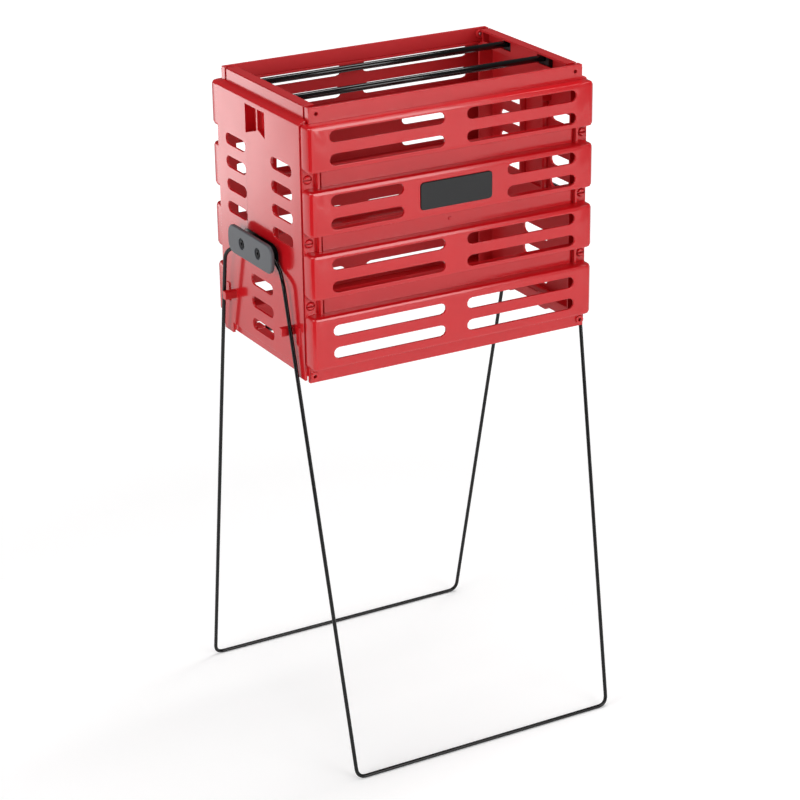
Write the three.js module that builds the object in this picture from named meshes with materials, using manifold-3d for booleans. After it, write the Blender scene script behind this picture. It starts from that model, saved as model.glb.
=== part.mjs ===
// Tennis ball hopper: a snap-together plastic basket on two swinging wire leg frames.
// Millimetres, +Z up, X along the long side, -Y the front. The legs stand on z = 0.
import * as THREE from 'three';
import Module from 'manifold-3d';
import { mergeGeometries, mergeVertices } from 'three/addons/utils/BufferGeometryUtils.js';

const wasm = await Module();
wasm.setup();

// Basket, outside sizes
const basketLength = 330;
const basketDepth = 218;
const rimHeight = 706;
const wall = 2.5;
const clear = 0.3;
const overrun = 20;

// Long panel: four raised bands, with recessed strips between them
const bandDepth = 13.5;
const bandCornerRadius = 8;
const bandEdgeRadius = 4;
const bandReturn = 17.5;
const topLipTall = 15.5;
const bandTall = 47.5;
const bottomBandTall = 56;
const bottomLipTall = 16.1;
const stripTall = 17.8;
const topLipInset = 7.5;
const bottomLipInset = 2;
const lipWall = 3.2;
const lipReturn = 8;
const stripEndInset = 19.8;
const ribInset = 14;
const ribThick = 2.5;
const ribProud = 3.5;
const cornerPlate = 2;
const nubRadius = 2;
const nubProud = 1.2;

// Slots of the long panel
const slotTall = 12;
const slotMargin = 5.95;
const slotInner = 12.5;
const slotEndInset = 22.7;
const badgeMargin = 18.5;

// Badge plate and its seat
const badgeLength = 83;
const badgeTall = 28.4;
const badgeThick = 1.5;
const badgeRadius = 4;
const badgeSeat = 0.8;

// Corner holes of the long panel
const cornerHoleRadius = 2;
const cornerBossRadius = 4.5;
const cornerBossLong = 6;
const topHoleInset = 8.3;
const topHoleDrop = 6.7;
const bottomHoleInset = 5;
const bottomHoleRise = 7.2;

// End panel
const endProud = 1.2;
const endEdgeRadius = 3.5;
const shoulderRise = 3;
const railInset = 7.5;
const railWide = 12.5;
const railFlange = 2;
const railTrim = 25;
const railSill = 2;
const railSillTall = 3;
const railStop = 2.5;
const bottomWebInset = 15;
const bottomLedgeRise = 18.5;
const bottomWebRise = 6.5;
const bottomFaceRise = 13;
const bottomSkirtRise = 5;
const bottomSkirtInset = 1.8;
const bottomLugRise = 2;
const bottomLugWide = 20;
const flangeInward = 17;

// Slots of the end panel
const endSlotInner = 28;
const endSlotOuter = 73;
const endSlotDrop = 68.7;
const endSlotPitch = 24.25;
const endSlotRows = 4;
const plateauSlotHalf = 24.5;
const plateauSlotRise = 76.9;
const plateauSlotRows = 3;

// Catch for the raised legs
const catchHalf = 26;
const catchDrop = 22;
const catchTall = 30;
const catchSlant = 7.5;
const catchNarrower = 9.3;
const catchShorter = 3.5;
const catchDivider = 3;
const catchDeep = 11;
const catchShallow = 5;

// Split pegs at the corners, and their holes
const pegRadius = 4.2;
const pegReach = 3.5;
const pegSlit = 1.6;
const pegTip = 1;
const pegInset = 5.7;
const pegPlay = 0.6;

// Bars
const barRadius = 3.5;
const barSpacing = 70.5;
const topBarDrop = 5.6;
const bottomBarRise = 14;
const socketHalf = 8;
const socketDeep = 9;
const socketDrop = 5.4;
const socketBore = 0.3;

// Slider shoes of the top bars
const shoeLong = 18;
const shoeRadius = 2.5;

// Hub: cap, back and screws
const hubDrop = 166;
const pivotOffset = 18;
const capHalf = 49;
const capTall = 30;
const capThick = 3.8;
const capBevel = 1.2;
const capRecessRadius = 6;
const capRecessDeep = 2.2;
const backHalf = 39.4;
const backTall = 22;
const backSeat = 4.7;
const backThick = 4.5;
const bossRadius = 4.5;
const collarRadius = 7.8;
const screwRadius = 1.9;
const screwHeadRadius = 4.2;
const screwHeadTall = 1.6;
const screwHexRadius = 1.8;

// Leg frames
const wireRadius = 2;
const layerGap = 0.6;
const layerSkin = 0.35;
const eyeRadius = 7;
const eyeTurn = 250;
const elbowOut = 61.5;
const elbowDrop = 22;
const elbowRadius = 20;
const armStraightShare = 0.63;
const footOut = 164.8;
const footCornerRadius = 11;
const elbowLayerFront = 172.6;
const elbowLayerRear = 177.2;
const footLayerFront = 155.4;
const footLayerRear = 160;

// Leg clips on the end panel
const clipRise = 46;
const clipBlockTall = 20;
const clipBlockWide = 7;
const clipBlockProud = 1.2;
const clipPegWide = 7.4;
const clipPegTall = 9;
const clipPegReach = 13;
const clipPegLift = 2;

// Roundness of curves, as counts of facets
const slotFacets = 5;
const cornerFacets = 3;
const edgeFacets = 2;
const pinFacets = 12;
const wireSides = 8;

// Places worked out from the sizes above
const halfLength = basketLength / 2;
const halfDepth = basketDepth / 2;
const stripFront = halfDepth - bandDepth;
const stripBack = stripFront - wall;
const seam = halfDepth - bandReturn;
const shelf = rimHeight - topLipTall;
const pivotHeight = rimHeight - hubDrop;
const barHalf = barSpacing / 2;
const endHalf = seam - clear;
const endFace = halfLength + endProud;
const innerFace = endFace - wall;
const railOuter = halfLength - railInset;
const railInner = railOuter - railWide;
const railEnd = halfDepth - railTrim;

// Bands from the top down, each [low z, high z]
const bands = [];
for (let i = 0, top = shelf; i < 4; i += 1) {
  const tall = i === 3 ? bottomBandTall : bandTall;
  bands.push([top - tall, top]);
  top -= tall + stripTall;
}
const bottom = bands[3][0] - bottomLipTall;
const slotRowOffset = (bandTall - slotTall) / 2 - slotMargin;

const materials = {
  panel: new THREE.MeshStandardMaterial({ color: 0xc4232b, roughness: 0.42, metalness: 0 }),
  wire: new THREE.MeshStandardMaterial({ color: 0x17171a, roughness: 0.35, metalness: 0.1 }),
  hub: new THREE.MeshStandardMaterial({ color: 0x3a3b3e, roughness: 0.5, metalness: 0 }),
  clamp: new THREE.MeshStandardMaterial({ color: 0x111214, roughness: 0.35, metalness: 0 }),
  badge: new THREE.MeshStandardMaterial({ color: 0x2c2d31, roughness: 0.4, metalness: 0 }),
  steel: new THREE.MeshStandardMaterial({ color: 0x222326, roughness: 0.4, metalness: 0.7 }),
};

// Solids from geometry and back
function solidOf(geometry) {
  const bare = geometry.clone();
  bare.deleteAttribute('normal');
  bare.deleteAttribute('uv');
  const merged = mergeVertices(bare);
  return new wasm.Manifold(new wasm.Mesh({
    numProp: 3,
    vertProperties: new Float32Array(merged.attributes.position.array),
    triVerts: new Uint32Array(merged.index.array),
  }));
}

function geometryOf(solid) {
  const mesh = solid.getMesh();
  const geometry = new THREE.BufferGeometry();
  geometry.setAttribute('position', new THREE.BufferAttribute(mesh.vertProperties, 3));
  geometry.setIndex(new THREE.BufferAttribute(mesh.triVerts, 1));
  return geometry;
}

function join(parts) {
  return parts.reduce((sum, part) => sum.add(part));
}

function cut(body, parts) {
  return parts.reduce((rest, part) => rest.subtract(part), body);
}

// Mirror a solid in the plane x = 0
function mirrored(geometry) {
  const flipped = geometry.clone();
  flipped.scale(-1, 1, 1);
  const index = flipped.index.array;
  for (let i = 0; i < index.length; i += 3) {
    [index[i], index[i + 1]] = [index[i + 1], index[i]];
  }
  return flipped;
}

function box(x0, x1, y0, y1, z0, z1) {
  const geometry = new THREE.BoxGeometry(x1 - x0, y1 - y0, z1 - z0);
  geometry.translate((x0 + x1) / 2, (y0 + y1) / 2, (z0 + z1) / 2);
  return solidOf(geometry);
}

// Extrusions of a flat shape along each axis
const axes = {
  x: [new THREE.Vector3(0, 1, 0), new THREE.Vector3(0, 0, 1), new THREE.Vector3(1, 0, 0)],
  y: [new THREE.Vector3(1, 0, 0), new THREE.Vector3(0, 0, 1), new THREE.Vector3(0, -1, 0)],
  z: [new THREE.Vector3(1, 0, 0), new THREE.Vector3(0, 1, 0), new THREE.Vector3(0, 0, 1)],
};

function extruded(shape, axis, from, to, options = {}) {
  const depth = to - from;
  const geometry = new THREE.ExtrudeGeometry(shape, {
    depth, bevelEnabled: false, curveSegments: cornerFacets, ...options,
  });
  geometry.applyMatrix4(new THREE.Matrix4().makeBasis(...axes[axis]));
  const start = axis === 'y' ? to : from;
  geometry.translate(axis === 'x' ? start : 0, axis === 'y' ? start : 0, axis === 'z' ? start : 0);
  return solidOf(geometry);
}

// A closed outline through corners [u, v, radius]
function outline(corners) {
  const shape = new THREE.Shape();
  const count = corners.length;
  corners.forEach(([u, v, radius = 0], i) => {
    const here = new THREE.Vector2(u, v);
    const before = new THREE.Vector2(...corners[(i + count - 1) % count].slice(0, 2));
    const after = new THREE.Vector2(...corners[(i + 1) % count].slice(0, 2));
    const back = before.sub(here).normalize();
    const on = after.sub(here).normalize();
    const half = Math.acos(THREE.MathUtils.clamp(back.dot(on), -1, 1)) / 2;
    const reach = radius / Math.tan(half);
    const start = here.clone().addScaledVector(back, reach);
    const end = here.clone().addScaledVector(on, reach);
    if (i === 0) shape.moveTo(start.x, start.y);
    else shape.lineTo(start.x, start.y);
    if (radius > 0) shape.quadraticCurveTo(here.x, here.y, end.x, end.y);
  });
  shape.closePath();
  return shape;
}

function rectangle(u0, u1, v0, v1, radius = 0) {
  return outline([[u0, v0, radius], [u1, v0, radius], [u1, v1, radius], [u0, v1, radius]]);
}

// A slot or plate with round ends
function stadium(u0, u1, v, tall, facets = slotFacets) {
  const radius = tall / 2;
  const shape = new THREE.Shape();
  const steps = [...Array(facets + 1).keys()];
  const right = steps.map((i) => [u1 - radius, -Math.PI / 2 + (Math.PI * i) / facets]);
  const left = steps.map((i) => [u0 + radius, Math.PI / 2 + (Math.PI * i) / facets]);
  [...right, ...left].forEach(([centre, angle], i) => {
    const u = centre + radius * Math.cos(angle);
    const w = v + radius * Math.sin(angle);
    if (i === 0) shape.moveTo(u, w);
    else shape.lineTo(u, w);
  });
  shape.closePath();
  return shape;
}

// A round rod between two places on an axis, at two places across it
function rod(axis, radius, from, to, across, up, farRadius = radius, facets = pinFacets) {
  const geometry = new THREE.CylinderGeometry(farRadius, radius, to - from, facets);
  if (axis === 'x') geometry.rotateZ(-Math.PI / 2);
  const middle = (from + to) / 2;
  if (axis === 'x') geometry.translate(middle, across, up);
  else geometry.translate(across, middle, up);
  return solidOf(geometry);
}

// Long panel, drawn as the front one
function bandShell([low, high]) {
  const plan = (inset) => outline([
    [-halfLength + inset, -halfDepth + inset, bandCornerRadius - inset],
    [halfLength - inset, -halfDepth + inset, bandCornerRadius - inset],
    [halfLength - inset, -seam + overrun],
    [-halfLength + inset, -seam + overrun],
  ]);
  const soft = {
    bevelEnabled: true, bevelSize: bandEdgeRadius, bevelThickness: bandEdgeRadius,
    bevelOffset: -bandEdgeRadius, bevelSegments: edgeFacets,
  };
  const outer = extruded(plan(0), 'z', low + bandEdgeRadius, high - bandEdgeRadius, soft);
  const inner = extruded(plan(wall), 'z', low + wall, high - wall);
  const room = box(-halfLength, halfLength, -halfDepth, -seam, low, high);
  return outer.subtract(inner).intersect(room);
}

function slotRows(index) {
  const [low, high] = bands[index];
  const middle = (low + high) / 2;
  const inner = index === 1 ? badgeLength / 2 + badgeMargin : slotInner;
  const outer = halfLength - slotEndInset;
  const cuts = [];
  for (const row of [-slotRowOffset, slotRowOffset]) {
    const right = stadium(inner, outer, middle + row, slotTall);
    const left = stadium(-outer, -inner, middle + row, slotTall);
    for (const shape of [left, right]) {
      cuts.push(extruded(shape, 'y', -halfDepth - overrun, -stripFront));
    }
  }
  return cuts;
}

// One recessed strip with its grooves and corner ribs, between a low and a high z
function strip(low, high) {
  const end = halfLength - stripEndInset;
  const parts = [box(-end, end, -stripFront, -stripBack, low - wall, high + wall)];
  for (const side of [-1, 1]) {
    const at = (x0, x1) => [Math.min(side * x0, side * x1), Math.max(side * x0, side * x1)];
    const ribOuter = halfLength - ribInset;
    parts.push(box(...at(end - wall, halfLength),
      -seam - cornerPlate, -seam, low - wall, high + wall));
    parts.push(box(...at(ribOuter - ribThick, ribOuter),
      -stripFront - ribProud, -seam, low - wall, high + wall));
  }
  return join(parts);
}

function topLip() {
  const half = halfLength - topLipInset;
  const parts = [
    box(-half, half, -stripFront, -stripBack, shelf - wall / 2, rimHeight - lipWall),
    extruded(outline([
      [-half, -stripFront, cornerHoleRadius / 2], [half, -stripFront, cornerHoleRadius / 2],
      [half, -stripFront + lipReturn], [half - wall, -stripFront + lipReturn],
      [half - wall, -stripFront + lipWall], [-half + wall, -stripFront + lipWall],
      [-half + wall, -stripFront + lipReturn], [-half, -stripFront + lipReturn],
    ]), 'z', shelf + clear, rimHeight),
  ];
  for (const side of [-1, 1]) {
    parts.push(rod('y', cornerBossRadius, -stripBack - clear, -stripFront + cornerBossLong,
      side * (half - topHoleInset), rimHeight - topHoleDrop));
  }
  return join(parts);
}

function bottomLip() {
  const half = halfLength - bottomLipInset;
  const front = stripFront;
  const parts = [
    extruded(outline([
      [-half, -front, cornerHoleRadius / 2], [half, -front, cornerHoleRadius / 2],
      [half, -seam], [half - wall, -seam],
      [half - wall, -front + lipWall], [-half + wall, -front + lipWall],
      [-half + wall, -seam], [-half, -seam],
    ]), 'z', bottom, bands[3][0] + wall / 2),
  ];
  for (const side of [-1, 1]) {
    parts.push(rod('y', cornerBossRadius, -front - cornerBossLong / 3, -seam,
      side * (half - bottomHoleInset), bottom + bottomHoleRise));
  }
  return join(parts);
}

function cornerHoles() {
  const holes = [];
  for (const side of [-1, 1]) {
    for (let i = 0; i < bands.length - 1; i += 1) {
      holes.push(rod('y', pegRadius + pegPlay, -halfDepth, -seam + overrun,
        side * (halfLength - pegInset), (bands[i][0] + bands[i + 1][1]) / 2));
    }
    holes.push(rod('y', cornerHoleRadius, -halfDepth, -seam + overrun,
      side * (halfLength - topLipInset - topHoleInset), rimHeight - topHoleDrop));
    holes.push(rod('y', cornerHoleRadius, -halfDepth, -seam + overrun,
      side * (halfLength - bottomLipInset - bottomHoleInset), bottom + bottomHoleRise));
  }
  return holes;
}

function longPanel() {
  const parts = bands.map(bandShell);
  for (let i = 0; i < bands.length - 1; i += 1) {
    parts.push(strip(bands[i + 1][1], bands[i][0]));
  }
  parts.push(topLip(), bottomLip());
  const nubHeight = (bands[1][0] + bands[2][1]) / 2;
  parts.push(rod('y', nubRadius, -stripFront - nubProud, -stripBack, 0, nubHeight));
  const badgeMiddle = (bands[1][0] + bands[1][1]) / 2;
  const seat = rectangle(-badgeLength / 2 - clear, badgeLength / 2 + clear,
    badgeMiddle - badgeTall / 2 - clear, badgeMiddle + badgeTall / 2 + clear, badgeRadius);
  const cuts = bands.flatMap((band, i) => slotRows(i));
  cuts.push(extruded(seat, 'y', -halfDepth - overrun, -halfDepth + badgeSeat));
  return cut(join(parts), cuts.concat(cornerHoles()));
}

function badgePlate() {
  const middle = (bands[1][0] + bands[1][1]) / 2;
  const shape = rectangle(-badgeLength / 2, badgeLength / 2,
    middle - badgeTall / 2, middle + badgeTall / 2, badgeRadius);
  const back = -halfDepth + badgeSeat - clear;
  return extruded(shape, 'y', back - badgeThick, back);
}

// How far out a leg lies at a height, for its clips
function legOutAt(height) {
  const elbowHeight = pivotHeight - elbowDrop;
  const share = (elbowHeight - height) / (elbowHeight - wireRadius);
  return elbowOut + share * (footOut - elbowOut);
}

// Outline of the hub back, or of its seat, grown by a margin
function backOutline(grow) {
  return stadium(-backHalf - grow, backHalf + grow, pivotHeight, backTall + 2 * grow);
}

// End panel, drawn as the one at +X
function endProfile() {
  const ledge = bottom + bottomLedgeRise;
  const low = bottom + bottomFaceRise;
  const webLow = bottom + bottomWebRise;
  const web = halfLength - bottomWebInset;
  const channelFloor = shelf;
  return outline([
    [endFace, low], [endFace, shelf, endEdgeRadius], [railOuter, shelf + shoulderRise],
    [railOuter, rimHeight, railFlange / 2], [railInner, rimHeight, railFlange / 2],
    [railInner, rimHeight - railFlange], [railOuter - wall, rimHeight - railFlange],
    [railOuter - wall, channelFloor], [railInner + 2 * railSill, channelFloor],
    [railInner + 2 * railSill, channelFloor + railSillTall],
    [railInner + railSill, channelFloor + railSillTall],
    [railInner + railSill, shelf - wall], [innerFace, shelf - wall],
    [innerFace, ledge], [web, ledge, railFlange / 2], [web, webLow],
    [web + wall, webLow], [web + wall, ledge - wall], [innerFace, ledge - wall],
    [innerFace, low],
  ]);
}

function endSlots() {
  const cuts = [];
  const through = (shape) => extruded(shape, 'x', innerFace - overrun, endFace + overrun);
  for (let row = 0; row < endSlotRows; row += 1) {
    const z = rimHeight - endSlotDrop - row * endSlotPitch;
    cuts.push(through(stadium(endSlotInner, endSlotOuter, z, slotTall)));
    cuts.push(through(stadium(-endSlotOuter, -endSlotInner, z, slotTall)));
  }
  for (let row = 0; row < plateauSlotRows; row += 1) {
    const z = bottom + plateauSlotRise - row * endSlotPitch;
    cuts.push(through(stadium(-plateauSlotHalf, plateauSlotHalf, z, slotTall)));
  }
  return cuts;
}

// Stops of the slider shoes inside the rail
function railStops() {
  const inner = barHalf - shoeLong / 2 - clear;
  const low = shelf - wall;
  const sill = railInner + railSill;
  const parts = [box(sill, railOuter, -inner, inner, low, rimHeight - railFlange / 2)];
  for (const side of [-1, 1]) {
    const near = Math.min(side * railEnd, side * (railEnd - railStop));
    parts.push(box(sill, railOuter, near, near + railStop, low, rimHeight - railFlange / 2));
  }
  return parts;
}

function catchBox() {
  const high = rimHeight - catchDrop;
  const back = endFace - catchDeep - wall;
  return box(back, endFace - wall / 2, -catchHalf - wall, catchHalf + wall,
    high - catchTall - wall, high + wall);
}

// Two pockets side by side, each with a floor that falls away from the divider
function catchPockets() {
  const high = rimHeight - catchDrop;
  const half = catchDivider / 2;
  const low = high - catchTall;
  const shallowLow = low + catchShorter;
  const shallowHalf = catchHalf - catchNarrower;
  const deep = outline([[half, high], [half, low + catchSlant], [catchHalf, low], [catchHalf, high]]);
  const shallow = outline([
    [-half, high], [-shallowHalf, high], [-shallowHalf, shallowLow],
    [-half, shallowLow + catchSlant - catchDivider / 2],
  ]);
  return [
    extruded(deep, 'x', endFace - catchDeep, endFace + overrun),
    extruded(shallow, 'x', endFace - catchShallow, endFace + overrun),
  ];
}

// Flanges behind the long panels, with a split peg through each corner hole
function cornerJoints() {
  const parts = [];
  for (const side of [-1, 1]) {
    const span = (y0, y1) => [Math.min(side * y0, side * y1), Math.max(side * y0, side * y1)];
    parts.push(box(innerFace - flangeInward, innerFace + wall / 2, ...span(endHalf - wall, endHalf),
      bottom + bottomWebRise, shelf - wall / 2));
    const x = halfLength - pegInset;
    const tip = endHalf + clear + pegReach;
    const [near, far] = side < 0 ? [pegRadius - pegTip, pegRadius] : [pegRadius, pegRadius - pegTip];
    for (let i = 0; i < bands.length - 1; i += 1) {
      const z = (bands[i][0] + bands[i + 1][1]) / 2;
      const stem = rod('y', pegRadius, ...span(endHalf - wall / 2, tip - pegTip), x, z);
      const head = rod('y', near, ...span(tip - pegTip, tip), x, z, far);
      const slit = box(x - pegRadius - clear, x + pegRadius + clear,
        ...span(endHalf + clear, tip + overrun), z - pegSlit / 2, z + pegSlit / 2);
      parts.push(stem.add(head).subtract(slit));
    }
  }
  return parts;
}

// Clips that locate the legs: a stop peg inside each wire, a low block outside it
function legClips() {
  const z = bottom + clipRise;
  const root = endFace - wall / 2;
  const parts = [];
  for (const side of [-1, 1]) {
    const span = (y0, y1) => [Math.min(side * y0, side * y1), Math.max(side * y0, side * y1)];
    const pegTop = z + clipPegLift + clipPegTall / 2;
    const near = legOutAt(pegTop) - wireRadius - 2 * clear;
    const peg = rectangle(...span(near - clipPegWide, near), pegTop - clipPegTall, pegTop,
      clipPegWide / 4);
    parts.push(extruded(peg, 'x', root, endFace + clipPegReach));
    const far = legOutAt(z - clipBlockTall / 2) + wireRadius + 2 * clear;
    parts.push(box(root, endFace + clipBlockProud, ...span(far, far + clipBlockWide),
      z - clipBlockTall / 2, z + clipBlockTall / 2));
  }
  return parts;
}

// Sockets of the bottom bars behind the inner web
function barSockets() {
  const z = bottom + bottomBarRise;
  const web = halfLength - bottomWebInset;
  return [-barHalf, barHalf].map((y) => {
    const shape = outline([
      [y - socketHalf, z + barRadius + wall, wall], [y - socketHalf, bottom + socketDrop / 2, wall],
      [y + socketHalf, bottom + socketDrop / 2, wall], [y + socketHalf, z + barRadius + wall, wall],
    ]);
    return extruded(shape, 'x', web, web + socketDeep);
  });
}

function socketBores() {
  const web = halfLength - bottomWebInset;
  return [-barHalf, barHalf].map((y) => rod('x', barRadius + socketBore, web - overrun,
    web + socketDeep - wall / 2, y, bottom + bottomBarRise));
}

// Set-back skirt under the end face, between two lugs at the corners
function skirt() {
  const outer = endFace - bottomSkirtInset;
  const high = bottom + bottomFaceRise + wall;
  const inner = endHalf - bottomLugWide;
  const body = box(outer - wall, outer, -inner - wall, inner + wall,
    bottom + bottomSkirtRise, high);
  const lugs = [-endHalf, inner].map((y) => box(innerFace, endFace, y, y + bottomLugWide,
    bottom + bottomLugRise, high));
  return join([body, ...lugs]);
}

function endPanel() {
  const bare = extruded(endProfile(), 'y', -endHalf, endHalf);
  const ends = [-1, 1].map((side) => {
    const y0 = side * railEnd;
    const y1 = side * (endHalf + clear);
    return box(railInner - clear, railOuter + clear, Math.min(y0, y1), Math.max(y0, y1),
      shelf, rimHeight + clear);
  });
  const sillEnds = [-1, 1].map((side) => {
    const y0 = side * railEnd;
    const y1 = side * (endHalf + clear);
    return box(railInner, innerFace - flangeInward + wall, Math.min(y0, y1), Math.max(y0, y1),
      shelf - overrun, shelf + overrun);
  });
  const floor = endFace - backSeat;
  const pad = extruded(backOutline(clear + wall), 'x', floor - wall, endFace - clear);
  const body = join([cut(bare, [...ends, ...sillEnds]), pad, catchBox(),
    skirt(), ...railStops(), ...barSockets(), ...cornerJoints()]);
  const seat = extruded(backOutline(clear), 'x', floor, endFace + overrun);
  const open = cut(body, [seat, ...catchPockets(), ...endSlots()]);
  return cut(join([open, ...legClips()]), socketBores());
}

// Bars and their slider shoes
function bar(half, y, z) {
  return rod('x', barRadius, -half, half, y, z);
}

function sliderShoe(y) {
  const low = shelf + clear;
  const high = rimHeight - railFlange - clear;
  const shape = rectangle(y - shoeLong / 2, y + shoeLong / 2, low, high, shoeRadius);
  const inner = railInner + 2 * railSill + clear;
  const outer = railOuter - wall - clear;
  const block = extruded(shape, 'x', inner, outer);
  const bore = rod('x', barRadius + clear, inner - overrun, outer - wall / 2, y,
    rimHeight - topBarDrop);
  return block.subtract(bore);
}

const topBarHalf = railOuter - wall - clear - wall / 2 - clear;
const bottomBarHalf = halfLength - bottomWebInset + socketDeep - wall / 2 - clear;

// Layers of the hub, outwards from the floor of the seat
const backInner = endFace - backSeat + clear;
const backOuter = backInner + backThick;
const armLayerFront = backOuter + layerSkin + wireRadius;
const armLayerRear = armLayerFront + 2 * wireRadius + layerGap;
const capInner = armLayerRear + wireRadius + layerSkin;
const capOuter = capInner + capThick;

function hubBack() {
  const parts = [extruded(backOutline(0), 'x', backInner, backOuter)];
  const shoulder = armLayerRear - wireRadius - layerSkin;
  for (const y of [-pivotOffset, pivotOffset]) {
    parts.push(rod('x', bossRadius, backInner, capInner - clear, y, pivotHeight));
  }
  parts.push(rod('x', collarRadius, backInner, shoulder, pivotOffset, pivotHeight));
  const bores = [-pivotOffset, pivotOffset].map((y) => rod('x', screwRadius + clear / 2,
    backInner + wall / 2, capInner + overrun, y, pivotHeight));
  return cut(join(parts), bores);
}

function hubCap() {
  const shape = stadium(-capHalf, capHalf, pivotHeight, capTall, 2 * slotFacets);
  const plate = extruded(shape, 'x', capInner, capOuter - capBevel, {
    bevelEnabled: true, bevelSize: capBevel, bevelThickness: capBevel, bevelOffset: -capBevel,
    bevelSegments: 2,
  });
  const flat = plate.intersect(box(capInner, capOuter, -capHalf, capHalf,
    pivotHeight - capTall, pivotHeight + capTall));
  const collarEnd = armLayerFront + wireRadius + layerSkin;
  const collar = rod('x', collarRadius, collarEnd, capInner + clear, -pivotOffset, pivotHeight);
  const hollow = rod('x', bossRadius + clear, collarEnd - clear, capInner, -pivotOffset,
    pivotHeight);
  const holes = [-pivotOffset, pivotOffset].flatMap((y) => [
    rod('x', screwRadius + clear, capInner - overrun, capOuter + overrun, y, pivotHeight),
    rod('x', capRecessRadius, capOuter - capRecessDeep, capOuter + overrun, y, pivotHeight),
  ]);
  return cut(flat.add(collar), [hollow, ...holes]);
}

function hubScrew(y) {
  const seat = capOuter - capRecessDeep + clear / 2;
  const shank = rod('x', screwRadius, backInner + wall, seat + clear, y, pivotHeight);
  const head = rod('x', screwHeadRadius, seat, seat + screwHeadTall, y, pivotHeight,
    screwHeadRadius - clear);
  const hex = rod('x', screwHexRadius, seat + screwHeadTall / 2, seat + overrun, y,
    pivotHeight, screwHexRadius, 6);
  return shank.add(head).subtract(hex);
}

// A wire swept along hand-chosen points, with a ring of facets at each point
class WirePath extends THREE.Curve {
  constructor(points) {
    super();
    this.points = points;
  }

  indexAt(u) {
    return Math.round(u * (this.points.length - 1));
  }

  getPointAt(u) {
    return this.points[this.indexAt(u)].clone();
  }

  getPoint(u) {
    return this.getPointAt(u);
  }

  getTangentAt(u) {
    const i = this.indexAt(u);
    const last = this.points.length - 1;
    const before = this.points[Math.max(i - 1, 0)];
    const after = this.points[Math.min(i + 1, last)];
    const here = this.points[i];
    const into = i > 0 ? here.clone().sub(before).normalize() : new THREE.Vector3();
    const out = i < last ? after.clone().sub(here).normalize() : new THREE.Vector3();
    return into.add(out).normalize();
  }
}

// Points round a bend between three corners of a route
function bend(before, corner, after, radius, steps) {
  const back = before.clone().sub(corner).normalize();
  const on = after.clone().sub(corner).normalize();
  const half = back.angleTo(on) / 2;
  const reach = radius / Math.tan(half);
  const start = corner.clone().addScaledVector(back, reach);
  const end = corner.clone().addScaledVector(on, reach);
  const curve = new THREE.QuadraticBezierCurve3(start, corner, end);
  return curve.getPoints(steps);
}

// One leg frame, drawn as the front one: eyes, arms, legs and a base bar in one wire.
// The section is turned so that the base bar rests on one of its flat facets.
function legFrame(armLayer, elbowLayer, footLayer) {
  const pivot = new THREE.Vector2(-pivotOffset, pivotHeight);
  const elbow = new THREE.Vector2(-elbowOut, pivotHeight - elbowDrop);
  const toElbow = elbow.clone().sub(pivot);
  const straight = Math.sqrt(toElbow.lengthSq() - eyeRadius ** 2);
  const leave = toElbow.angle() - Math.atan2(straight, eyeRadius);
  const turn = THREE.MathUtils.degToRad(eyeTurn);
  const eyeSteps = 12;
  const half = [];
  for (let i = 0; i <= eyeSteps; i += 1) {
    const angle = leave - turn + (turn * i) / eyeSteps;
    half.push(new THREE.Vector3(armLayer, pivot.x + eyeRadius * Math.cos(angle),
      pivot.y + eyeRadius * Math.sin(angle)));
  }
  const leaving = half[half.length - 1];
  const elbowPoint = new THREE.Vector3(elbowLayer, elbow.x, elbow.y);
  const jog = leaving.clone().lerp(elbowPoint, armStraightShare).setX(armLayer);
  const foot = new THREE.Vector3(footLayer, -footOut, wireRadius);
  const middle = new THREE.Vector3(0, -footOut, wireRadius);
  half.push(jog);
  half.push(...bend(jog, elbowPoint, foot, elbowRadius, cornerFacets + 1));
  half.push(...bend(elbowPoint, foot, middle, footCornerRadius, 2 * cornerFacets));
  const other = half.map((point) => new THREE.Vector3(-point.x, point.y, point.z)).reverse();
  const points = [...half, ...other];
  const path = new WirePath(points);
  const steps = points.length - 1;
  const frames = path.computeFrenetFrames(steps);
  const base = points.length / 2;
  const down = Math.atan2(-frames.binormals[base].z, -frames.normals[base].z);
  const across = wireRadius / Math.cos(Math.PI / wireSides);
  const section = new THREE.Shape();
  for (let i = 0; i < wireSides; i += 1) {
    const angle = down + (Math.PI * (2 * i + 1)) / wireSides;
    const [u, v] = [across * Math.cos(angle), across * Math.sin(angle)];
    if (i === 0) section.moveTo(u, v);
    else section.lineTo(u, v);
  }
  section.closePath();
  const geometry = new THREE.ExtrudeGeometry(section, {
    steps, bevelEnabled: false, extrudePath: path,
  });
  return solidOf(geometry);
}

// The object
const hopper = new THREE.Group();

function place(name, solid, material, turn = 0) {
  const geometry = solid.isBufferGeometry ? solid : geometryOf(solid);
  const mesh = new THREE.Mesh(geometry, material);
  mesh.name = name;
  mesh.rotation.z = turn;
  hopper.add(mesh);
  return mesh;
}

const panel = longPanel();
place('front_panel', panel, materials.panel);
place('rear_panel', panel, materials.panel, Math.PI);
place('badge_plate', badgePlate(), materials.badge);

const rightEnd = geometryOf(endPanel());
place('right_end_panel', rightEnd, materials.panel);
place('left_end_panel', mirrored(rightEnd), materials.panel);

const topBarHeight = rimHeight - topBarDrop;
const bottomBarHeight = bottom + bottomBarRise;
for (const [row, side] of [['front', -1], ['rear', 1]]) {
  const y = side * barHalf;
  place(`top_bar_${row}`, bar(topBarHalf, y, topBarHeight), materials.wire);
  place(`bottom_bar_${row}`, bar(bottomBarHalf, y, bottomBarHeight), materials.wire);
  const shoe = geometryOf(sliderShoe(y));
  place(`${row}_bar_shoe_right`, shoe, materials.hub);
  place(`${row}_bar_shoe_left`, mirrored(shoe), materials.hub);
}

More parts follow.
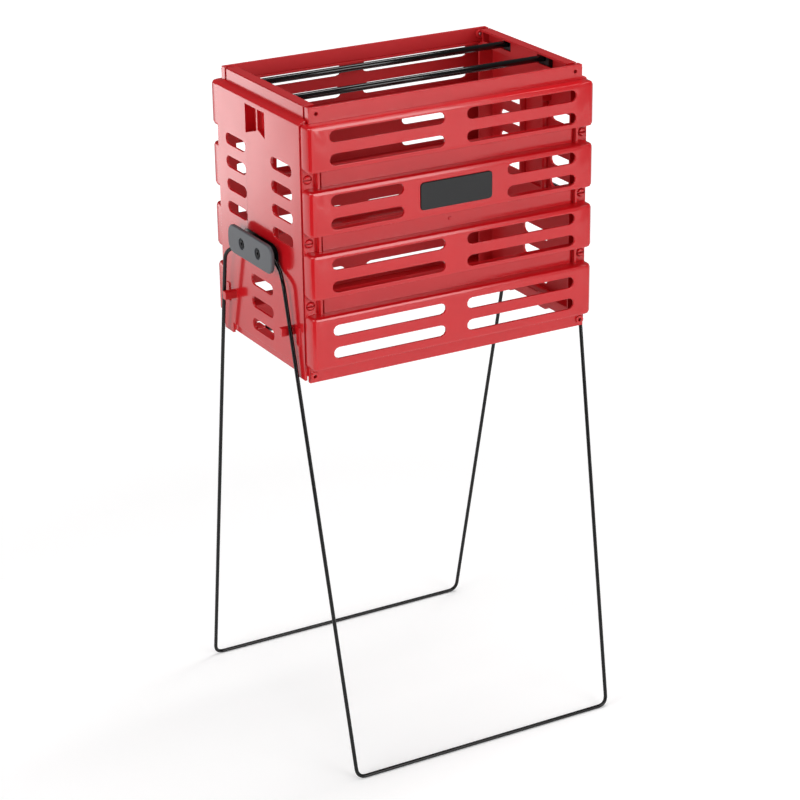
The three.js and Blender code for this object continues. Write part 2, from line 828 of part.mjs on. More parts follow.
const back = geometryOf(hubBack());
const cap = geometryOf(hubCap());
place('right_hub_back', back, materials.clamp);
place('left_hub_back', mirrored(back), materials.clamp);
place('right_hub_cap', cap, materials.hub);
place('left_hub_cap', mirrored(cap), materials.hub);
for (const [row, y] of [['front', -pivotOffset], ['rear', pivotOffset]]) {
  const screw = geometryOf(hubScrew(y));
  place(`right_hub_screw_${row}`, screw, materials.steel);
  place(`left_hub_screw_${row}`, mirrored(screw), materials.steel);
}

place('front_leg_frame', legFrame(armLayerFront, elbowLayerFront, footLayerFront), materials.wire);
place('rear_leg_frame', legFrame(armLayerRear, elbowLayerRear, footLayerRear),
  materials.wire, Math.PI);

export default hopper;
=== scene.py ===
"""Tennis ball hopper: a moulded red basket on two black wire leg frames."""
import math

import bmesh
import bpy
import numpy as np
from mathutils import Matrix, Vector


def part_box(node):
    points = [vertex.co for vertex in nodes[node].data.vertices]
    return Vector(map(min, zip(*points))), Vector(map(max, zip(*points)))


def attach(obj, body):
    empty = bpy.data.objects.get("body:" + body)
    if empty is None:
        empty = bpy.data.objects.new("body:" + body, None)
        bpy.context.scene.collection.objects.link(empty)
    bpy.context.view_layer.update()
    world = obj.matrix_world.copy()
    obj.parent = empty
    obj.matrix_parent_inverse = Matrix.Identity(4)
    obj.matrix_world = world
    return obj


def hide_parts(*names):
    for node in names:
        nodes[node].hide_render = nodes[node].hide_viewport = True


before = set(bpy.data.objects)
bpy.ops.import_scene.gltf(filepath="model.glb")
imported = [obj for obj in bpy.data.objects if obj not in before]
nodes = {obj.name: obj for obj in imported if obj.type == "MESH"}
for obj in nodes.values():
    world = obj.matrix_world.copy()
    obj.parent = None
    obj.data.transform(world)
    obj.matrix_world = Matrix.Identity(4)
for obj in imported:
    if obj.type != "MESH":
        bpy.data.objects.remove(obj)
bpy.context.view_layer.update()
MM = 0.001

# Camera of the photograph: place in metres, turn in degrees, focal length in its pixels
CAMERA_PLACE = (-1.2628, -2.2328, 1.3777)
CAMERA_YAW = 29.365
CAMERA_PITCH = 22.073
CAMERA_ROLL = -0.706
FOCAL_PIXELS = 2580.7
PICTURE_PIXELS = 800
SENSOR_MM = 36.0

# Floor and backdrop, in metres
FLOOR_REACH = 9.0
FLOOR_DROP = 0.0002
BACKDROP_AWAY = 5.0
BACKDROP_TALL = 2.8

# Lift of their paper to white: by the camera from near to far, and in a reflection
PAPER_NEAR = 0.6
PAPER_FAR = 2.0
PAPER_SEEN_NEAR = 0.17
PAPER_SEEN_FAR = 0.6
PAPER_MIRRORED = 0.02

# A black and a glowing white card that only reflections show, painted reflections: two feet
# and a height in metres, and for the white one an axis, a dark place and a bright place of each
# fade
FLAG_FEET = ((-1.0657, -1.0325, 0), (-1.4343, -0.3675, 0))
FLAG_TALL = 0.9
CARD_FEET = ((-1.3, 1.05, 0), (-0.56, 1.27, 0))
CARD_TALL = 0.5
CARD_FADES = (("X", -0.92, -0.66), ("X", -0.56, -0.64), ("Z", 0.0, 0.24))
CARD_EDGE_GLOW = 0.85
CARD_GLOW = 3.5

# Lamps: name, place, target, width and height in metres, and watts
LAMPS = (
    ("left_softbox", (-2.6, -0.6, 1.3), (0, 0, 0.5), 1.5, 1.5, 30),
    ("front_fill", (0.9, -3.2, 1.2), (0, 0, 0.5), 1.7, 1.7, 48),
    ("overhead_strip", (0.45, 0.1, 2.3), (0, 0, 0.6), 0.4, 1.8, 18),
)

# Strength of the white room as soft light and in a reflection
ROOM_SOFT = 0.45
ROOM_MIRRORED = 0.1

# Sizes of the surface patterns, in millimetres
PLASTIC_CLOUD = 40.0
PLASTIC_RIPPLE = 3.0
COAT_WAVE = 6.0
SPARK_GRAIN = 0.6
OXIDE_GRAIN = 0.4

# Moulded walls: a face turned to the basket's axis is dull from this many millimetres
# away, and glossy within half as many
INSIDE_FROM = 60.0
DULL_ROUGHNESS = 0.55
COAT_WEIGHT = 0.35

# Route of the leg wires, in millimetres and degrees
WIRE_RADIUS = 2.0
PIVOT_OUT = 18.0
PIVOT_UP = 540.0
EYE_RADIUS = 7.0
EYE_TURN = 250.0
ELBOW_OUT = 61.5
ELBOW_DROP = 22.0
ELBOW_RADIUS = 20.0
ARM_STRAIGHT_SHARE = 0.63
JOG_RADIUS = 24.0
FOOT_OUT = 164.8
FOOT_RADIUS = 11.0
ARM_LAYER = {"front": 168.65, "rear": 173.25}
ELBOW_LAYER = {"front": 172.6, "rear": 177.2}
FOOT_LAYER = {"front": 155.4, "rear": 160.0}

# Small pieces, in millimetres
CAP_THICK = 3.8
CAP_RADIUS = 11.0
CAP_EDGE = 1.1
CAP_BACK_EDGE = 0.3
CAP_HOLE_RADIUS = 6.0
CAP_HOLE_DEEP = 2.2
CAP_HOLE_EDGE = 0.4
COLLAR_RADIUS = 7.8
COLLAR_LONG = 4.5
BAR_CHAMFER = 0.6
SCREW_SHANK_RADIUS = 1.9
SCREW_HOLE_PLAY = 0.3
SCREW_HEAD_TALL = 1.6
SCREW_HEAD_SLOPE_TALL = 0.4
SCREW_HEAD_SLOPE_IN = 0.5
SCREW_HEX_RADIUS = 1.8
SCREW_HEX_DEEP = 1.1
SCREW_EDGE = 0.12
CUT_PAST = 1.0
RIB_PLACES = {"front": -21.5, "rear": 21.5}
RIB_THICK = 2.4
RIB_PROUD = 7.8
RIB_EDGE = 0.6
RIB_LOW = 552.5
RIB_HIGH = 652.5
END_WALL_INSIDE = 164.0
BADGE_RADIUS = 4.0
BADGE_EDGE = 0.4

# Edges of the CAD solids, in millimetres, and the angle in degrees that counts as an edge
MERGE_WITHIN = 0.002
WALL_EDGE = 0.35
SMALL_EDGE = 0.3
SHARP_FROM = 28
SCREW_SHARP_FROM = 40
CAP_SHARP_FROM = 50

# Steps of the fine surfaces
WIRE_SIDES = 20
ARC_STEPS = 48
BEND_STEPS = 16
LEG_STEPS = 24
ROUND_STEPS = 24
CORNER_STEPS = 12
HEX_STEPS = 48
QUARTER_STEPS = 5
FILLET_STEPS = 2


def make_camera():
    """The camera looks along a forward axis given by yaw and pitch, and its right axis
    is turned about that axis by the roll."""
    yaw, pitch, roll = (math.radians(a) for a in (CAMERA_YAW, CAMERA_PITCH, CAMERA_ROLL))
    forward = Vector((
        math.sin(yaw) * math.cos(pitch), math.cos(yaw) * math.cos(pitch), -math.sin(pitch)))
    level = Vector((math.cos(yaw), -math.sin(yaw), 0))
    upright = level.cross(forward)
    right = math.cos(roll) * level + math.sin(roll) * upright
    up = math.cos(roll) * upright - math.sin(roll) * level
    data = bpy.data.cameras.new("camera")
    data.sensor_width = SENSOR_MM
    data.lens = FOCAL_PIXELS / PICTURE_PIXELS * SENSOR_MM
    camera = bpy.data.objects.new("camera", data)
    turn = Matrix((right, up, -forward)).transposed().to_4x4()
    camera.matrix_world = Matrix.Translation(CAMERA_PLACE) @ turn
    bpy.context.scene.collection.objects.link(camera)
    bpy.context.scene.camera = camera


def linear(hex_colour):
    """An sRGB hex colour as linear red, green, blue and alpha."""
    shares = [int(hex_colour[i:i + 2], 16) / 255 for i in (1, 3, 5)]
    return [*(s / 12.92 if s <= 0.04045 else ((s + 0.055) / 1.055) ** 2.4 for s in shares), 1]


def add(material, kind, settings=None, **links):
    """Adds a node with its settings, and links its inputs from other nodes' outputs. An
    input whose name others share is given by its number, as in input_1."""
    tree = material.node_tree
    node = tree.nodes.new(kind)
    for name, value in (settings or {}).items():
        if isinstance(name, int) or name in node.inputs:
            node.inputs[name].default_value = value
        else:
            setattr(node, name, value)
    for name, source in links.items():
        number = name.removeprefix("input_")
        socket = int(number) if number.isdigit() else name.replace("_", " ")
        tree.links.new(source, node.inputs[socket])
    return node


def new_material(name):
    material = bpy.data.materials.new(name)
    material.use_nodes = True
    material.node_tree.nodes.clear()
    return material


def finish_material(material, settings, **links):
    """Ends a material with its shader and output."""
    shader = add(material, "ShaderNodeBsdfPrincipled", settings, **links)
    add(material, "ShaderNodeOutputMaterial", Surface=shader.outputs["BSDF"])
    return material


def moulded_polypropylene(name, colour, dark_colour, roughness):
    """Injection-moulded polypropylene. The outside, from the polished half of the mould,
    is glossy. The inside, which faces the basket's axis, is from the dull half. Both have
    a slight cloudiness of colour over about 40 mm and a faint ripple of 3 mm."""
    material = new_material(name)
    coordinates = add(material, "ShaderNodeTexCoord")
    place = coordinates.outputs["Object"]
    cloud = add(material, "ShaderNodeTexNoise",
                {"Scale": 1 / (PLASTIC_CLOUD * MM), "Detail": 2.0}, Vector=place)
    tint = add(material, "ShaderNodeMix",
               {"data_type": "RGBA", 6: linear(colour), 7: linear(dark_colour)},
               input_0=cloud.outputs["Fac"])
    ripple = add(material, "ShaderNodeTexNoise",
                 {"Scale": 1 / (PLASTIC_RIPPLE * MM), "Detail": 1.0}, Vector=place)
    skin = add(material, "ShaderNodeBump", {"Strength": 0.03, "Distance": 0.2 * MM},
               Height=ripple.outputs["Fac"])
    level = add(material, "ShaderNodeVectorMath", {"operation": "MULTIPLY", 1: (1, 1, 0)},
                input_0=place)
    outward = add(material, "ShaderNodeVectorMath", {"operation": "DOT_PRODUCT"},
                  input_0=level.outputs["Vector"], input_1=coordinates.outputs["Normal"])
    shine = add(material, "ShaderNodeMapRange",
                {"From Min": -INSIDE_FROM * MM, "From Max": -INSIDE_FROM / 2 * MM},
                Value=outward.outputs["Value"])
    gloss = add(material, "ShaderNodeMapRange",
                {"To Min": roughness - 0.03, "To Max": roughness + 0.05},
                Value=cloud.outputs["Fac"])
    dulled = add(material, "ShaderNodeMix", {"data_type": "FLOAT", 2: DULL_ROUGHNESS},
                 input_0=shine.outputs["Result"], input_3=gloss.outputs["Result"])
    coat = add(material, "ShaderNodeMapRange", {"To Max": COAT_WEIGHT},
               Value=shine.outputs["Result"])
    return finish_material(
        material, {"IOR": 1.5, "Coat Roughness": 0.05, "Coat IOR": 1.5},
        Base_Color=tint.outputs[2], Roughness=dulled.outputs[0],
        Coat_Weight=coat.outputs["Result"], Normal=skin.outputs["Normal"])


def coated_steel(name, colour, roughness, waviness, shine):
    """Round steel under a thin black coat: even gloss, with a soft waviness of the coat
    about 6 mm long that is stronger in dipped vinyl than in paint."""
    material = new_material(name)
    place = add(material, "ShaderNodeTexCoord").outputs["Object"]
    wave = add(material, "ShaderNodeTexNoise", {"Scale": 1 / (COAT_WAVE * MM), "Detail": 1.0},
               Vector=place)
    skin = add(material, "ShaderNodeBump", {"Strength": waviness, "Distance": 0.2 * MM},
               Height=wave.outputs["Fac"])
    gloss = add(material, "ShaderNodeMapRange",
                {"To Min": roughness - 0.05, "To Max": roughness + 0.05},
                Value=wave.outputs["Fac"])
    return finish_material(
        material, {"Base Color": linear(colour), "IOR": 1.5, "Specular IOR Level": shine},
        Roughness=gloss.outputs["Result"], Normal=skin.outputs["Normal"])


def moulded_abs(name, colour, roughness):
    """Moulded ABS with a fine spark-eroded grain of 0.6 mm, which dulls its gloss."""
    material = new_material(name)
    place = add(material, "ShaderNodeTexCoord").outputs["Object"]
    grain = add(material, "ShaderNodeTexNoise",
                {"Scale": 1 / (SPARK_GRAIN * MM), "Detail": 2.0}, Vector=place)
    skin = add(material, "ShaderNodeBump", {"Strength": 0.12, "Distance": 0.1 * MM},
               Height=grain.outputs["Fac"])
    gloss = add(material, "ShaderNodeMapRange",
                {"To Min": roughness - 0.04, "To Max": roughness + 0.08},
                Value=grain.outputs["Fac"])
    return finish_material(
        material, {"Base Color": linear(colour), "IOR": 1.53, "Specular IOR Level": 0.4},
        Roughness=gloss.outputs["Result"], Normal=skin.outputs["Normal"])


def blackened_steel():
    """Black-oxide steel of a socket screw: dark, a little metallic, and unevenly dull
    over about 0.4 mm."""
    material = new_material("blackened_steel")
    place = add(material, "ShaderNodeTexCoord").outputs["Object"]
    grain = add(material, "ShaderNodeTexNoise",
                {"Scale": 1 / (OXIDE_GRAIN * MM), "Detail": 2.0}, Vector=place)
    gloss = add(material, "ShaderNodeMapRange", {"To Min": 0.3, "To Max": 0.5},
                Value=grain.outputs["Fac"])
    return finish_material(
        material, {"Base Color": linear("#08080A"), "Metallic": 0.3, "Specular IOR Level": 0.15},
        Roughness=gloss.outputs["Result"])


def white_paper():
    """White studio paper, lifted to white where the camera sees it, less in a reflection.
    The lift is small round the hopper, where the paper keeps its shadow, and grows away
    from it, where the paper is less well lit."""
    material = new_material("white_paper")
    place = add(material, "ShaderNodeTexCoord").outputs["Object"]
    away = add(material, "ShaderNodeVectorMath", {"operation": "LENGTH"}, Vector=place)
    seen = add(material, "ShaderNodeMapRange",
               {"From Min": PAPER_NEAR, "From Max": PAPER_FAR, "To Min": PAPER_SEEN_NEAR,
                "To Max": PAPER_SEEN_FAR}, Value=away.outputs["Value"])
    ray = add(material, "ShaderNodeLightPath")
    by_camera = add(material, "ShaderNodeMath", {"operation": "MULTIPLY"},
                    input_0=ray.outputs["Is Camera Ray"], input_1=seen.outputs["Result"])
    lift = add(material, "ShaderNodeMath", {"operation": "MULTIPLY_ADD", 1: PAPER_MIRRORED},
               input_0=ray.outputs["Is Glossy Ray"], input_2=by_camera.outputs[0])
    return finish_material(
        material,
        {"Base Color": linear("#F6F6F6"), "Roughness": 0.9, "Emission Color": (1, 1, 1, 1)},
        Emission_Strength=lift.outputs[0])


def glowing_reflection_card():
    """A glowing white card, a painted reflection with no lamp of its own: brightest near its
    middle, it fades to the sides and into the floor."""
    material = new_material("glowing_reflection_card")
    place = add(material, "ShaderNodeTexCoord").outputs["Object"]
    parts = add(material, "ShaderNodeSeparateXYZ", Vector=place)
    share = None
    for axis, dark, bright in CARD_FADES:
        fade = add(material, "ShaderNodeMapRange",
                   {"interpolation_type": "SMOOTHSTEP", "From Min": dark, "From Max": bright},
                   Value=parts.outputs[axis]).outputs["Result"]
        share = fade if share is None else add(
            material, "ShaderNodeMath", {"operation": "MULTIPLY"},
            input_0=share, input_1=fade).outputs[0]
    glow = add(material, "ShaderNodeMapRange",
               {"To Min": CARD_EDGE_GLOW, "To Max": CARD_GLOW}, Value=share)
    emission = add(material, "ShaderNodeEmission", Strength=glow.outputs["Result"])
    add(material, "ShaderNodeOutputMaterial", Surface=emission.outputs[0])
    return material


def stage_sheet(name, corners, finish):
    """A flat sheet of the studio through four corners."""
    mesh = bpy.data.meshes.new(name)
    mesh.from_pydata(corners, [], [(0, 1, 2, 3)])
    sheet = bpy.data.objects.new(name, mesh)
    bpy.context.scene.collection.objects.link(sheet)
    mesh.materials.append(finish)
    return sheet


def standing_sheet(name, feet, tall, finish):
    """An upright sheet between two points of the floor."""
    start, end = (Vector(foot) for foot in feet)
    rise = Vector((0, 0, tall))
    return stage_sheet(name, [start, end, end + rise, start + rise], finish)


def make_floor():
    """The floor, and a low backdrop across the camera's axis."""
    paper = white_paper()
    reach = FLOOR_REACH
    stage_sheet("floor", [(x, y, -FLOOR_DROP) for x, y in (
        (-reach, -reach), (reach, -reach), (reach, reach), (-reach, reach))], paper)
    yaw = math.radians(CAMERA_YAW)
    ahead = Vector((math.sin(yaw), math.cos(yaw), 0))
    across = Vector((math.cos(yaw), -math.sin(yaw), 0))
    middle = ahead * BACKDROP_AWAY - Vector((0, 0, FLOOR_DROP))
    wall = standing_sheet("backdrop", (middle + across * reach, middle - across * reach),
                          BACKDROP_TALL, paper)
    wall.visible_glossy = False


def make_cards():
    """A black card on the left, mirrored by the basket's rounded corners, and a glowing white
    one low at the rear left, mirrored by the left end wall: painted reflections, seen by no
    other ray."""
    felt = finish_material(new_material("black_felt"),
                           {"Base Color": linear("#050505"), "Roughness": 1.0})
    for card in (standing_sheet("flag", FLAG_FEET, FLAG_TALL, felt),
                 standing_sheet("reflector", CARD_FEET, CARD_TALL, glowing_reflection_card())):
        # The cards are painted reflections: they neither light nor shade the hopper.
        card.visible_camera = False
        card.visible_diffuse = False
        card.visible_shadow = False


def area_light(name, place, target, wide, tall, power):
    data = bpy.data.lights.new(name, "AREA")
    data.shape = "RECTANGLE"
    data.size = wide
    data.size_y = tall
    data.energy = power
    light = bpy.data.objects.new(name, data)
    bpy.context.scene.collection.objects.link(light)
    light.location = place
    aim = Vector(target) - Vector(place)
    light.rotation_euler = aim.to_track_quat("-Z", "Y").to_euler()


def make_world():
    """A white room: white where the camera sees it, dimmer as soft light and mirrored."""
    world = bpy.data.worlds.new("studio")
    world.use_nodes = True
    tree = world.node_tree
    background = tree.nodes["Background"]
    background.inputs["Color"].default_value = (1, 1, 1, 1)
    ray = tree.nodes.new("ShaderNodeLightPath")
    blend = None
    for kind, strength in (("Is Glossy Ray", ROOM_MIRRORED), ("Is Transmission Ray", 1.0),
                           ("Is Camera Ray", 1.0)):
        before, blend = blend, tree.nodes.new("ShaderNodeMix")
        factor, otherwise, when = (blend.inputs[i] for i in (0, 2, 3))
        tree.links.new(ray.outputs[kind], factor)
        when.default_value = strength
        otherwise.default_value = ROOM_SOFT
        if before:
            tree.links.new(before.outputs[0], otherwise)
    tree.links.new(blend.outputs[0], background.inputs["Strength"])
    bpy.context.scene.world = world


def new_piece(name, points, faces, finish, body):
    """A piece from points in millimetres, with its faces turned outwards."""
    mesh = bpy.data.meshes.new(name)
    mesh.from_pydata((np.asarray(points).reshape(-1, 3) * MM).tolist(), [], faces)
    shell = bmesh.new()
    shell.from_mesh(mesh)
    bmesh.ops.recalc_face_normals(shell, faces=shell.faces)
    shell.to_mesh(mesh)
    shell.free()
    return place_piece(name, mesh, finish, body)


def place_piece(name, mesh, finish, body):
    mesh.materials.clear()
    mesh.materials.append(finish)
    piece = bpy.data.objects.new(name, mesh)
    bpy.context.scene.collection.objects.link(piece)
    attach(piece, body)
    return piece


def settle(piece):
    """Applies a piece's modifiers to its mesh."""
    graph = bpy.context.evaluated_depsgraph_get()
    mesh = bpy.data.meshes.new_from_object(piece.evaluated_get(graph))
    piece.modifiers.clear()
    piece.data = mesh


def round_edges(piece, width, sharp_from=SHARP_FROM):
    """A small fillet on each sharp edge, and normals that keep the flats flat."""
    bevel = piece.modifiers.new("fillet", "BEVEL")
    bevel.width = width * MM
    bevel.segments = FILLET_STEPS
    bevel.limit_method = "ANGLE"
    bevel.angle_limit = math.radians(sharp_from)
    bevel.use_clamp_overlap = False
    even = piece.modifiers.new("even_normals", "WEIGHTED_NORMAL")
    even.keep_sharp = False
    faces = piece.data.polygons
    faces.foreach_set("use_smooth", np.ones(len(faces), dtype=bool))
    settle(piece)


def smooth(piece):
    """Smooth shading, with flat polygons at the ends."""
    faces = piece.data.polygons
    sides = np.empty(len(faces), dtype=np.int32)
    faces.foreach_get("loop_total", sides)
    faces.foreach_set("use_smooth", sides <= 4)
    return piece


def ring_faces(rings, sides):
    """Quads between neighbouring rings, and one polygon across each end."""
    ring, side = np.meshgrid(np.arange(rings - 1), np.arange(sides), indexing="ij")
    after = (side + 1) % sides
    low, high = ring * sides, (ring + 1) * sides
    quads = np.stack([low + side, low + after, high + after, high + side], axis=-1)
    last = (rings - 1) * sides
    return [*quads.reshape(-1, 4).tolist(), list(range(sides)), list(range(last, last + sides))]


def unit(vectors):
    """The same directions, each of length one."""
    return vectors / np.linalg.norm(vectors, axis=-1, keepdims=True)


def tube(name, path, guide, radius, finish, body):
    """A circle carried along a path: at each point it lies across the path's direction,
    and its first spoke is that direction's cross product with the guide."""
    along = unit(np.gradient(path, axis=0))
    side = unit(np.cross(along, guide))
    up = np.cross(side, along)
    turn = np.linspace(0, 2 * np.pi, WIRE_SIDES, endpoint=False)[None, :, None]
    rings = path[:, None] + radius * (np.cos(turn) * side[:, None] + np.sin(turn) * up[:, None])
    piece = new_piece(name, rings, ring_faces(len(path), WIRE_SIDES), finish, body)
    return smooth(piece)


def bend(before, corner, after, radius):
    """A quadratic curve that rounds the corner between two straight stretches."""
    back, on = unit(before - corner), unit(after - corner)
    half = math.acos(np.clip(back @ on, -1, 1)) / 2
    reach = radius / math.tan(half)
    t = np.linspace(0, 1, BEND_STEPS)[:, None]
    start, end = corner + back * reach, corner + on * reach
    return (1 - t) ** 2 * start + 2 * t * (1 - t) * corner + t ** 2 * end


def leg_route(row):
    """One wire: an eye round the pivot, an arm to the elbow, a leg to the foot, a base bar,
    and the same mirrored. The guide turns from the long axis to the leg's own normal."""
    pivot = np.array([-PIVOT_OUT, PIVOT_UP])
    reach = np.array([-ELBOW_OUT, PIVOT_UP - ELBOW_DROP]) - pivot
    straight = math.sqrt(reach @ reach - EYE_RADIUS ** 2)
    leave = math.atan2(reach[1], reach[0]) - math.atan2(straight, EYE_RADIUS)
    turn = leave - math.radians(EYE_TURN) * np.linspace(1, 0, ARC_STEPS)
    layer = np.full(ARC_STEPS, ARM_LAYER[row])
    eye = np.stack([layer, pivot[0] + EYE_RADIUS * np.cos(turn),
                    pivot[1] + EYE_RADIUS * np.sin(turn)], axis=1)
    elbow = np.array([ELBOW_LAYER[row], *(pivot + reach)])
    jog = eye[-1] + ARM_STRAIGHT_SHARE * (elbow - eye[-1])
    jog[0] = ARM_LAYER[row]
    foot = np.array([FOOT_LAYER[row], -FOOT_OUT, WIRE_RADIUS])
    middle = np.array([0, -FOOT_OUT, WIRE_RADIUS])
    arm = np.concatenate([eye, bend(eye[-1], jog, elbow, JOG_RADIUS),
                          bend(jog, elbow, foot, ELBOW_RADIUS)])
    corner = bend(elbow, foot, middle, FOOT_RADIUS)
    share = np.linspace(0, 1, LEG_STEPS)[1:-1, None]
    leg = arm[-1] + share * (corner[0] - arm[-1])
    half = np.concatenate([arm, leg, corner])
    swing = np.concatenate([np.zeros(len(arm)), np.pi / 2 * share[:, 0],
                            np.full(len(corner), np.pi / 2)])[:, None]
    down = unit(foot - elbow)
    normal = unit(np.array([0, down[2], -down[1]]))
    guide = np.cos(swing) * np.array([1, 0, 0]) + np.sin(swing) * normal
    flip = np.array([-1, 1, 1])
    route = np.concatenate([half, half[::-1] * flip])
    return route, np.concatenate([guide, guide[::-1] * flip])


def leg_frames(finish):
    """The front wire, and the rear one turned half round."""
    for row, turn in (("front", 1), ("rear", -1)):
        about = np.array([turn, turn, 1])
        route, guide = leg_route(row)
        piece = tube(f"{row}_leg_wire", route * about, guide * about, WIRE_RADIUS, finish,
                     f"{row}_leg")
        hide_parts(f"{row}_leg_frame")


def node_box(name):
    """A CAD node's lowest and highest corner in millimetres."""
    low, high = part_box(name)
    return np.array(low) / MM, np.array(high) / MM


def turned(name, places, radii, centre, finish, body, shape=None):
    """A profile turned about a line along X: one radius at each place along it. A shape,
    one factor for each radius and side, makes rings other than round."""
    factor = np.ones((len(radii), ROUND_STEPS)) if shape is None else shape
    angle = np.linspace(0, 2 * np.pi, factor.shape[1], endpoint=False)
    spread = np.array(radii)[:, None] * factor
    rings = np.stack([np.repeat(np.array(places)[:, None], len(angle), axis=1),
                      centre[0] + spread * np.cos(angle), centre[1] + spread * np.sin(angle)],
                     axis=-1)
    piece = new_piece(name, rings, ring_faces(*factor.shape), finish, body)
    return smooth(piece)


def rods(finish):
    """Straight bars with chamfered ends."""
    for level in ("top", "bottom"):
        for row in ("front", "rear"):
            node = f"{level}_bar_{row}"
            low, high = node_box(node)
            radius = (high[2] - low[2]) / 2
            centre = ((low[1] + high[1]) / 2, (low[2] + high[2]) / 2)
            places = [low[0], low[0] + BAR_CHAMFER, high[0] - BAR_CHAMFER, high[0]]
            radii = [radius - BAR_CHAMFER, radius, radius, radius - BAR_CHAMFER]
            body = f"{row}_top_bar" if level == "top" else "root"
            piece = turned(f"{level}_rod_{row}", places, radii, centre, finish, body)
            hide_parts(node)


def plate_profile(back, front, edge, back_edge):
    """Insets and places from a plate's back rim, with a chamfer, to its front rim, with a
    quarter round."""
    turn = np.linspace(0, np.pi / 2, QUARTER_STEPS)
    inset, along = edge * (1 - np.sin(turn)), edge * (1 - np.cos(turn))
    insets = np.concatenate([[back_edge, 0], inset[::-1]])
    places = np.concatenate([[back, back + back_edge], front - edge + along])
    return insets, places


def rounded_rectangle(half, tall, radius, insets):
    """Rings of a rectangle with quarter-round corners, each drawn in by its inset."""
    arc = np.linspace(0, np.pi / 2, CORNER_STEPS)
    angle = np.concatenate([arc + k * np.pi / 2 for k in range(4)])
    across = np.repeat([1, -1, -1, 1], CORNER_STEPS) * (half - radius)
    upward = np.repeat([1, 1, -1, -1], CORNER_STEPS) * (tall - radius)
    spread = (radius - insets)[:, None]
    return across + spread * np.cos(angle), upward + spread * np.sin(angle)


def carve(piece, cutters):
    """Cuts other pieces' shapes out of a piece, and removes those pieces."""
    for cutter in cutters:
        tool = piece.modifiers.new("cut", "BOOLEAN")
        tool.object = cutter
        tool.solver = "EXACT"
    settle(piece)
    for cutter in cutters:
        bpy.data.objects.remove(cutter)


def hub_caps(finish):
    """A plate with round corners and a rounded front rim, two sunk screw holes and a
    collar behind the front pivot."""
    for side, sign in (("left", -1), ("right", 1)):
        node = f"{side}_hub_cap"
        low, high = node_box(node)
        outer = max(abs(low[0]), abs(high[0]))
        inner = outer - CAP_THICK
        insets, places = plate_profile(inner, outer, CAP_EDGE, CAP_BACK_EDGE)
        y, z = rounded_rectangle(high[1], (high[2] - low[2]) / 2, CAP_RADIUS, insets)
        x = np.repeat(sign * places[:, None], y.shape[1], axis=1)
        rings = np.stack([x, y, z + PIVOT_UP], axis=-1)
        cap = new_piece(f"{side}_cap_plate", rings, ring_faces(*y.shape), finish, "root")
        holes = ((CAP_HOLE_RADIUS, outer - CAP_HOLE_DEEP),
                 (SCREW_SHANK_RADIUS + SCREW_HOLE_PLAY, inner - CUT_PAST))
        carve(cap, [turned("cutter", [sign * start, sign * (outer + CUT_PAST)],
                           [radius, radius], (at, PIVOT_UP), finish, "root")
                    for at in (-PIVOT_OUT, PIVOT_OUT) for radius, start in holes])
        round_edges(cap, CAP_HOLE_EDGE, CAP_SHARP_FROM)
        collar = turned(f"{side}_cap_collar", [sign * (inner - COLLAR_LONG), sign * inner],
                        [COLLAR_RADIUS, COLLAR_RADIUS], (-PIVOT_OUT, PIVOT_UP), finish,
                        "root")
        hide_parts(node)
        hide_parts(node)


def screws(finish):
    """A shank, a button head and a hexagon socket, all as one run of rings. A hexagon's
    radius is its corner's, times the cosine of 30 degrees over that of the angle from
    the middle of the side."""
    angle = np.linspace(0, 2 * np.pi, HEX_STEPS, endpoint=False)
    hexagon = np.cos(np.pi / 6) / np.cos(angle % (np.pi / 3) - np.pi / 6)
    shape = np.stack([*[np.ones(HEX_STEPS)] * 5, hexagon, hexagon])
    for side, sign in (("left", -1), ("right", 1)):
        for row in ("front", "rear"):
            node = f"{side}_hub_screw_{row}"
            low, high = node_box(node)
            start, end = sorted((abs(low[0]), abs(high[0])))
            head = (high[2] - low[2]) / 2
            seat = end - SCREW_HEAD_TALL
            places = [start, seat, seat, end - SCREW_HEAD_SLOPE_TALL, end, end,
                      end - SCREW_HEX_DEEP]
            radii = [SCREW_SHANK_RADIUS, SCREW_SHANK_RADIUS, head, head,
                     head - SCREW_HEAD_SLOPE_IN, SCREW_HEX_RADIUS, SCREW_HEX_RADIUS]
            centre = ((low[1] + high[1]) / 2, PIVOT_UP)
            piece = turned(f"{side}_{row}_socket_screw", [sign * p for p in places], radii,
                           centre, finish, "root", shape)
            round_edges(piece, SCREW_EDGE, SCREW_SHARP_FROM)
            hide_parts(node)


def badge(finish):
    """A rounded rectangle with a softened front edge, bare of any mark."""
    low, high = node_box("badge_plate")
    insets, places = plate_profile(-high[1], -low[1], BADGE_EDGE, 0)
    x, z = rounded_rectangle((high[0] - low[0]) / 2, (high[2] - low[2]) / 2, BADGE_RADIUS,
                             insets)
    y = np.repeat(-places[:, None], x.shape[1], axis=1)
    rings = np.stack([x, y, z + (high[2] + low[2]) / 2], axis=-1)
    piece = new_piece("bare_badge", rings, ring_faces(*x.shape), finish, "root")
    smooth(piece)
    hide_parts("badge_plate")


def end_ribs(finish):
    """Two upright ribs inside each end wall, plates with a rounded rim that stand on it."""
    insets, places = plate_profile(0, RIB_PROUD, RIB_EDGE, 0)
    y, z = rounded_rectangle(RIB_THICK / 2, (RIB_HIGH - RIB_LOW) / 2, RIB_THICK / 2, insets)
    x = np.repeat(END_WALL_INSIDE - places[:, None], y.shape[1], axis=1)
    for side, sign in (("left", -1), ("right", 1)):
        for row, at in RIB_PLACES.items():
            rings = np.stack([sign * x, y + at, z + (RIB_HIGH + RIB_LOW) / 2], axis=-1)
            piece = new_piece(f"{side}_{row}_rib", rings, ring_faces(*y.shape), finish,
                              "root")
            smooth(piece)
            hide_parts(f"{side}_end_panel")


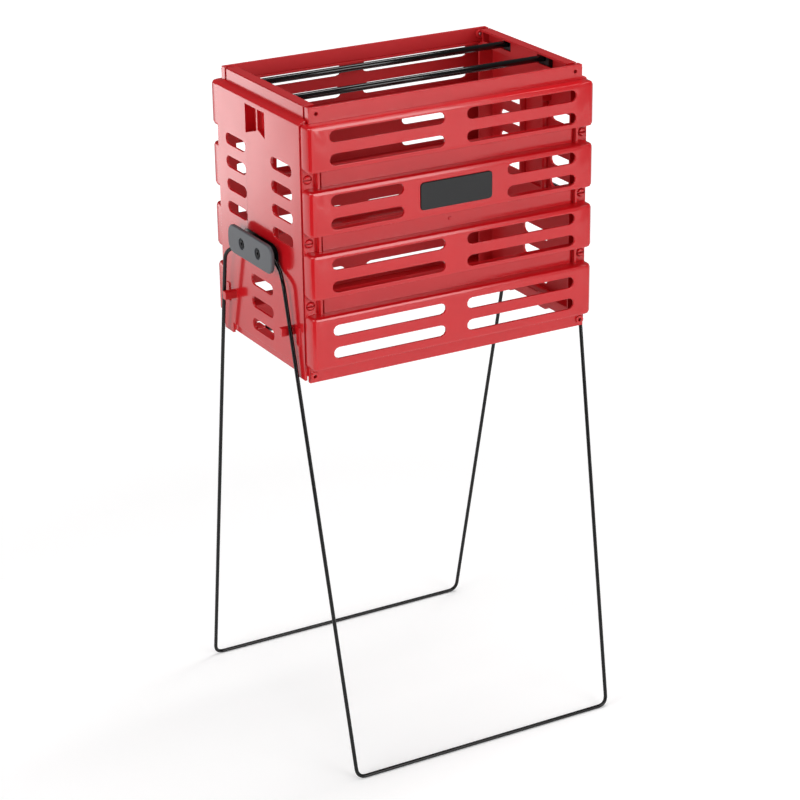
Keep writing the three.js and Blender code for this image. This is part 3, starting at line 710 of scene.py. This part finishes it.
def softened(node, name, finish, body, width):
    """A CAD solid with its corners merged and its edges rounded, held in its own box."""
    mesh = nodes[node].data.copy()
    mesh.name = name
    shell = bmesh.new()
    shell.from_mesh(mesh)
    bmesh.ops.remove_doubles(shell, verts=shell.verts, dist=MERGE_WITHIN * MM)
    shell.to_mesh(mesh)
    shell.free()
    piece = place_piece(name, mesh, finish, body)
    round_edges(piece, width)
    corners = piece.data.vertices
    points = np.empty(3 * len(corners), dtype=np.float32)
    corners.foreach_get("co", points)
    low, high = (np.array(corner, dtype=np.float32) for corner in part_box(node))
    corners.foreach_set("co", np.clip(points.reshape(-1, 3), low, high).ravel())
    piece.data.update()
    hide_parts(node)


make_camera()
make_floor()
make_cards()
for lamp in LAMPS:
    area_light(*lamp)
make_world()
bpy.context.scene.view_settings.view_transform = "Standard"

panel_plastic = moulded_polypropylene("moulded_polypropylene_red", "#C8151D", "#BE1119", 0.17)
clamp_plastic = moulded_polypropylene("moulded_polypropylene_black", "#070708", "#0B0B0C", 0.3)
wire_coat = coated_steel("vinyl_coated_wire", "#060607", 0.22, 0.05, 0.35)
rod_coat = coated_steel("painted_rod", "#060607", 0.15, 0.012, 0.6)
hub_plastic = moulded_abs("moulded_abs_grey", "#54565A", 0.4)
shoe_plastic = moulded_abs("moulded_abs_black", "#0E0E10", 0.45)
badge_plastic = moulded_abs("moulded_abs_badge", "#141416", 0.3)
screw_steel = blackened_steel()

leg_frames(wire_coat)
rods(rod_coat)
hub_caps(hub_plastic)
screws(screw_steel)
badge(badge_plastic)
end_ribs(panel_plastic)
for side in ("left", "right"):
    softened(f"{side}_end_panel", f"{side}_end_wall", panel_plastic, "root", WALL_EDGE)
    softened(f"{side}_hub_back", f"{side}_hub_clamp", clamp_plastic, "root",
             SMALL_EDGE)
    for row in ("front", "rear"):
        softened(f"{row}_bar_shoe_{side}", f"{row}_rail_shoe_{side}", shoe_plastic,
                 f"{row}_top_bar", SMALL_EDGE)
for row in ("front", "rear"):
    softened(f"{row}_panel", f"{row}_wall", panel_plastic, "root", WALL_EDGE)
